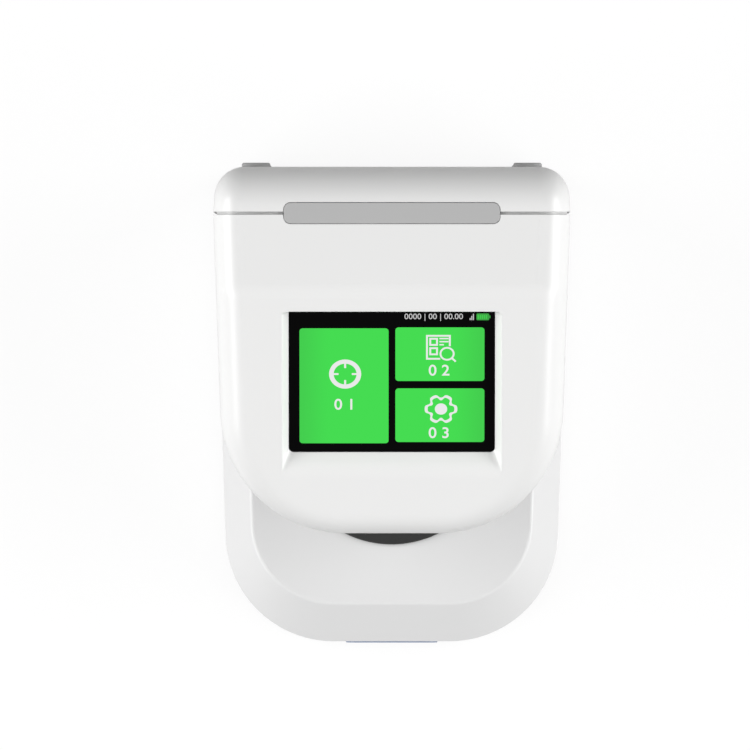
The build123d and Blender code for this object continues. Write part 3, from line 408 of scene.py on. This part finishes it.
makers = {"circuitBoard": makeBoardMaterial, "clearGlass": makeClearGlass, "screenGlass": makeScreenGlass}


def dressNodes():
    for name, members in wearing.items():
        mat = makers[name]() if name in makers else makeFinish(name)
        for member in members:
            data = nodes[member].data
            data.materials.clear()
            data.materials.append(mat)
    bare = sorted(set(nodes) - {n for members in wearing.values() for n in members})
    print("materials on", len(nodes) - len(bare), "nodes, bare:", bare)


# the screen's own plane: origin in the middle of the glass face, across = +X, up = up the slope
screenPlane = {"slopeDegrees": 25.0, "glassThickness": 1.6, "film": 0.03}


def screenMatrix(lift):
    low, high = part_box("cover_glass")
    slope = math.radians(screenPlane["slopeDegrees"])
    up = Vector((0, math.cos(slope), math.sin(slope)))
    out = Vector((0, -math.sin(slope), math.cos(slope)))
    face = (low + high) / 2 + out * (screenPlane["glassThickness"] / 2 + lift) * mm
    turn = Matrix((Vector((1, 0, 0)), up, out)).transposed()
    return Matrix.Translation(face) @ turn.to_4x4() @ Matrix.Scale(mm, 4)


def addScreenPiece(name, mesh, mat):
    mesh.materials.append(mat)
    piece = addObject(name, mesh)
    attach(piece, "housing")


def meshFrom(bm, name):
    mesh = bpy.data.meshes.new(name)
    bm.to_mesh(mesh)
    bm.free()
    return mesh


# a flat bmesh in millimetres becomes a thin closed film on the glass
def layOnScreen(name, bm, mat, layer):
    film = screenPlane["film"]
    for face in bm.faces:
        if face.normal.z < 0:
            face.normal_flip()
    top = bmesh.ops.extrude_face_region(bm, geom=bm.faces[:])
    raised = [v for v in top["geom"] if isinstance(v, bmesh.types.BMVert)]
    bmesh.ops.translate(bm, verts=raised, vec=(0, 0, film))
    bmesh.ops.recalc_face_normals(bm, faces=bm.faces[:])
    bm.transform(screenMatrix(layer * film + film / 2))
    addScreenPiece(name, meshFrom(bm, name), mat)


# a square one millimetre wide, stretched to its size by the caller
def addSquare(bm):
    return bmesh.ops.create_grid(bm, x_segments=1, y_segments=1, size=0.5)["verts"]


cornerSteps = 6


def addPlate(bm, x0, x1, y0, y1, corner=0.0):
    made = addSquare(bm)
    bmesh.ops.scale(bm, verts=made, vec=(x1 - x0, y1 - y0, 1))
    bmesh.ops.translate(bm, verts=made, vec=((x0 + x1) / 2, (y0 + y1) / 2, 0))
    if corner > 0:
        bmesh.ops.bevel(bm, geom=made, offset=corner, segments=cornerSteps, profile=0.5, affect="VERTICES",
                        material=-1)


# a straight stroke between two points
def addStroke(bm, start, end, width):
    a, b = Vector(start), Vector(end)
    made = addSquare(bm)
    bmesh.ops.scale(bm, verts=made, vec=((b - a).length, width, 1))
    turn = Matrix.Rotation(math.atan2(b.y - a.y, b.x - a.x), 3, "Z")
    bmesh.ops.rotate(bm, verts=made, matrix=turn, cent=(0, 0, 0))
    bmesh.ops.translate(bm, verts=made, vec=((a + b) / 2).to_3d())


# a closed band between two outlines, each with its radius as a function of the angle
def addBand(bm, centre, outer, inner, steps=96):
    edges = []
    for radius in (outer, inner):
        made = bmesh.ops.create_circle(bm, segments=steps, radius=1.0)["verts"]
        for v in made:
            v.co *= radius(math.atan2(v.co.y, v.co.x))
        bmesh.ops.translate(bm, verts=made, vec=(centre[0], centre[1], 0))
        edges += list({e for v in made for e in v.link_edges})
    bmesh.ops.bridge_loops(bm, edges=edges)


def addFrame(bm, x0, x1, y0, y1, stroke):
    half = stroke / 2
    addStroke(bm, (x0, y1 - half), (x1, y1 - half), stroke)
    addStroke(bm, (x0, y0 + half), (x1, y0 + half), stroke)
    addStroke(bm, (x0 + half, y0 + stroke), (x0 + half, y1 - stroke), stroke)
    addStroke(bm, (x1 - half, y0 + stroke), (x1 - half, y1 - stroke), stroke)


# three touch areas: left, right, low and high, in mm from the middle of the glass
tiles = {
    "left": (-31.34, -1.11, -23.6, 19.45),
    "upper": (1.2, 31.44, -0.25, 19.8),
    "lower": (1.2, 31.44, -23.13, -3.03),
}
tileCorner = 1.1


def makeTiles(mat):
    for name, (x0, x1, y0, y1) in tiles.items():
        bm = bmesh.new()
        addPlate(bm, x0, x1, y0, y1, tileCorner)
        layOnScreen("tile_" + name, bm, mat, 0)


# ring with four ticks
targetSet = {"centre": (-15.85, 2.35), "radius": 5.45, "stroke": 1.55, "tick": 1.65, "tickWidth": 0.68}


def makeTargetIcon(mat):
    bm = bmesh.new()
    outer = targetSet["radius"]
    inner = outer - targetSet["stroke"]
    root = targetSet["stroke"] / 4      # each tick starts this deep in the ring
    addBand(bm, targetSet["centre"], lambda a: outer, lambda a: inner)
    for quarter in range(4):
        way = Vector((math.cos(quarter * math.pi / 2), math.sin(quarter * math.pi / 2)))
        far = Vector(targetSet["centre"]) + way * (inner + root)
        addStroke(bm, far, far - way * (targetSet["tick"] + root), targetSet["tickWidth"])
    layOnScreen("icon_target", bm, mat, 1)


# page with two boxes and three lines, and a magnifier over its corner
pageSet = {
    "left": 11.6, "right": 20.0, "low": 7.75, "high": 17.0, "stroke": 0.65,
    "box": 2.95, "boxInset": 1.7, "boxGap": 0.9,                                # inset and gap in strokes
    "line": 0.5, "lineInset": 2.1, "linePitch": 2.3, "reach": (3.1, 3.1, 1.5),  # pitch in line widths
    "lens": (18.75, 9.95), "lensRadius": 2.55, "lensStroke": 0.62, "gap": 0.45, "handle": 1.9,
}


def makePageIcon(mat):
    bm = bmesh.new()
    left, right, low, high, stroke = (pageSet[key] for key in ("left", "right", "low", "high", "stroke"))
    box, line, radius = (pageSet[key] for key in ("box", "line", "lensRadius"))
    lensX, lensY = pageSet["lens"]
    half = stroke / 2
    cut = radius + pageSet["gap"]       # the page's outline stops this far from the lens
    lowEnd = lensX - math.sqrt(max(cut**2 - (lensY - low - half)**2, 0.0))
    rightEnd = lensY + math.sqrt(max(cut**2 - (right - half - lensX)**2, 0.0))
    addStroke(bm, (left, high - half), (right, high - half), stroke)
    addStroke(bm, (left + half, low), (left + half, high - stroke), stroke)
    addStroke(bm, (left + stroke, low + half), (lowEnd, low + half), stroke)
    addStroke(bm, (right - half, rightEnd), (right - half, high - stroke), stroke)
    boxLeft = left + stroke * pageSet["boxInset"]
    for row in range(2):
        boxHigh = high - stroke * pageSet["boxInset"] - row * (box + stroke * pageSet["boxGap"])
        addFrame(bm, boxLeft, boxLeft + box, boxHigh - box, boxHigh, stroke)
    lineLeft = boxLeft + box + line
    for row, reach in enumerate(pageSet["reach"]):
        y = high - stroke * pageSet["lineInset"] - row * line * pageSet["linePitch"]
        addStroke(bm, (lineLeft, y), (lineLeft + reach, y), line)
    addBand(bm, (lensX, lensY), lambda a: radius, lambda a: radius - pageSet["lensStroke"])
    way = Vector((1, -1)).normalized()
    start = Vector((lensX, lensY)) + way * (radius - pageSet["lensStroke"] / 2)
    addStroke(bm, start, start + way * pageSet["handle"], stroke)
    layOnScreen("icon_page", bm, mat, 1)


# cog with six soft lobes
cogSet = {"centre": (16.7, -10.75), "mean": 4.85, "swing": 0.72, "stroke": 1.02, "lobes": 6, "hub": 2.1,
          "push": 1.7, "bias": 0.4, "steps": 180, "hubSteps": 64}


def cogRadius(angle, inset):
    swing = math.tanh(cogSet["push"] * (math.cos(cogSet["lobes"] * angle) + cogSet["bias"]))
    return cogSet["mean"] + cogSet["swing"] * swing - inset


def makeCogIcon(mat):
    bm = bmesh.new()
    x, y = cogSet["centre"]
    addBand(bm, (x, y), lambda a: cogRadius(a, 0.0), lambda a: cogRadius(a, cogSet["stroke"]),
            cogSet["steps"])
    hub = bmesh.ops.create_circle(bm, segments=cogSet["hubSteps"], radius=cogSet["hub"], cap_ends=True)
    bmesh.ops.translate(bm, verts=hub["verts"], vec=(x, y, 0))
    layOnScreen("icon_cog", bm, mat, 1)


# plain figures: text, centre, cap height and how much the strokes swell
figures = {
    "figures_left": ("0 1", (-15.98, -9.2), 4.1, 0.06),
    "figures_upper": ("0 2", (16.05, 3.57), 4.1, 0.06),
    "figures_lower": ("0 3", (16.05, -19.85), 4.1, 0.06),
    "figures_status": ("0000 | 00 | 00.00", (14.2, 23.8), 2.1, 0.012),
}
capShare = 0.72      # cap height of the plain built-in type against its size


def makeFigures(name, mat, layer):
    body, centre, height, swell = figures[name]
    curve = bpy.data.curves.new(name, "FONT")
    curve.body = body
    curve.size = height / capShare
    curve.align_x = "CENTER"
    curve.align_y = "CENTER"
    curve.extrude = screenPlane["film"] / 2
    curve.offset = swell
    holder = addObject(name + "_curve", curve)
    mesh = bpy.data.meshes.new_from_object(holder.evaluated_get(bpy.context.evaluated_depsgraph_get()))
    bpy.data.objects.remove(holder)
    bpy.data.curves.remove(curve)
    mesh.transform(Matrix.Translation((centre[0], centre[1], 0)))
    mesh.transform(screenMatrix((layer + 1) * screenPlane["film"]))
    mesh.materials.clear()
    mesh.name = name
    addScreenPiece(name, mesh, mat)


# battery sign and rising bars in the status line
batterySet = {"left": 28.7, "right": 33.0, "low": 22.5, "high": 25.0, "corner": 0.45, "noseFrom": 0.05,
              "noseTo": 0.45, "noseHalf": 0.5, "cells": 5, "margin": 0.42, "gap": 0.28, "inset": 0.5}
barsSet = {"left": 26.4, "low": 22.55, "count": 3, "width": 0.34, "pitch": 0.55, "step": 0.78}


def makeStatusSigns(case, cells, bars):
    left, right, low, high = (batterySet[key] for key in ("left", "right", "low", "high"))
    middle = (low + high) / 2
    half = batterySet["noseHalf"]
    bm = bmesh.new()
    addPlate(bm, left, right, low, high, batterySet["corner"])
    addPlate(bm, right + batterySet["noseFrom"], right + batterySet["noseTo"], middle - half, middle + half)
    layOnScreen("sign_battery", bm, case, 0)
    bm = bmesh.new()
    inset = batterySet["inset"]
    pitch = (right - left - 2 * batterySet["margin"]) / batterySet["cells"]
    for cell in range(batterySet["cells"]):
        x = left + batterySet["margin"] + cell * pitch
        addPlate(bm, x, x + pitch - batterySet["gap"], low + inset, high - inset)
    layOnScreen("sign_cells", bm, cells, 1)
    bm = bmesh.new()
    for bar in range(barsSet["count"]):
        x = barsSet["left"] + bar * barsSet["pitch"]
        addPlate(bm, x, x + barsSet["width"], barsSet["low"], barsSet["low"] + (bar + 1) * barsSet["step"])
    layOnScreen("sign_bars", bm, bars, 0)


# rays that come by a mirror or through glass
def mirrorRays(tree, ray):
    return calc(tree, "MAXIMUM", ray.outputs["Is Glossy Ray"], ray.outputs["Is Transmission Ray"])


# white bench: pure white in the open for the camera, with the object's shadow, but darker in
# mirrors and glass, and with little light thrown back on the object
floorSet = {"size": 9.0, "lightSeen": 0.86, "shadeSeen": (0.15, 0.15, 0.15, 1.0), "lightGlossy": 0.12,
            "shadeGlossy": (0.55, 0.55, 0.55, 1.0), "bounce": (0.16, 0.16, 0.16, 1.0),
            "grain": 3.0, "grainDepth": 0.02}


# a surface that shines by itself and takes light and shadow as well
def litAndShaded(tree, light, shade):
    glow = addNode(tree, "ShaderNodeEmission", {"Strength": light}).outputs[0]
    matt = addNode(tree, "ShaderNodeBsdfDiffuse", {"Color": shade}).outputs[0]
    return addNode(tree, "ShaderNodeAddShader", {0: glow, 1: matt}).outputs[0]


def makeFloor():
    mat, tree, shader = newMaterial("floorWhite")
    tree.nodes.remove(shader)
    ray = addNode(tree, "ShaderNodeLightPath")
    height = addNode(tree, "ShaderNodeGroup", {"Size": floorSet["grain"]}, node_tree=grain).outputs["Height"]
    bump = addNode(tree, "ShaderNodeBump", {"Height": height, "Distance": floorSet["grainDepth"] * mm})
    seen = litAndShaded(tree, floorSet["lightSeen"], floorSet["shadeSeen"])
    glossy = litAndShaded(tree, floorSet["lightGlossy"], floorSet["shadeGlossy"])
    bounce = addNode(tree, "ShaderNodeBsdfDiffuse",
                     {"Color": floorSet["bounce"], "Normal": bump.outputs[0]}).outputs[0]
    indirect = addNode(tree, "ShaderNodeMixShader", {0: mirrorRays(tree, ray), 1: bounce, 2: glossy})
    final = addNode(tree, "ShaderNodeMixShader",
                    {0: ray.outputs["Is Camera Ray"], 1: indirect.outputs[0], 2: seen})
    tree.links.new(final.outputs[0], tree.nodes["Material Output"].inputs["Surface"])
    bm = bmesh.new()
    bmesh.ops.create_grid(bm, x_segments=2, y_segments=2, size=floorSet["size"] / 2)
    mesh = meshFrom(bm, "floor")
    mesh.materials.append(mat)
    addObject("floor", mesh)


# two long side panels, low enough to light the flanks and shine along the rounded edges
lamps = {
    "lampLeft": {"place": (-1.92, -0.24, 1.02), "length": 2.8, "height": 0.9, "power": 59.0},
    "lampRight": {"place": (1.92, -0.24, 1.02), "length": 2.8, "height": 0.9, "power": 59.0},
}


def makeLamps():
    for name, spec in lamps.items():
        data = bpy.data.lights.new(name, "AREA")
        data.shape = "RECTANGLE"
        data.size = spec["length"]
        data.size_y = spec["height"]
        data.energy = spec["power"]
        lamp = addObject(name, data)
        lamp.location = spec["place"]
        lamp.rotation_euler = (-lamp.location).to_track_quat("-Z", "Y").to_euler()
        lamp.visible_camera = False


# white all round for the camera, mirrors and glass, and a weak fill light for the rest
worldSet = {"seen": 1.0, "fill": 0.15}


def makeWorld():
    world = bpy.data.worlds.new("world")
    bpy.context.scene.world = world
    world.use_nodes = True
    tree = world.node_tree
    ray = addNode(tree, "ShaderNodeLightPath")
    seen = calc(tree, "MAXIMUM", ray.outputs["Is Camera Ray"], mirrorRays(tree, ray))
    sky = tree.nodes["Background"]
    tree.links.new(ranged(tree, seen, worldSet["fill"], worldSet["seen"]), sky.inputs["Strength"])
    sky.inputs["Color"].default_value = (1.0, 1.0, 1.0, 1.0)


makeCamera()
dressNodes()
green = makeLitMaterial("tileGreen")
white = makeLitMaterial("iconWhite")
grey = makeLitMaterial("statusGrey")
batteryGreen = makeLitMaterial("batteryGreen")
makeTiles(green)
makeTargetIcon(white)
makePageIcon(white)
makeCogIcon(white)
for figureName in ("figures_left", "figures_upper", "figures_lower"):
    makeFigures(figureName, white, 1)
makeFigures("figures_status", grey, 0)
makeStatusSigns(batteryGreen, green, grey)
print("screen drawn")
makeFloor()
makeLamps()
makeWorld()
bpy.context.scene.view_settings.view_transform = "Standard"
print("floor and lights set")
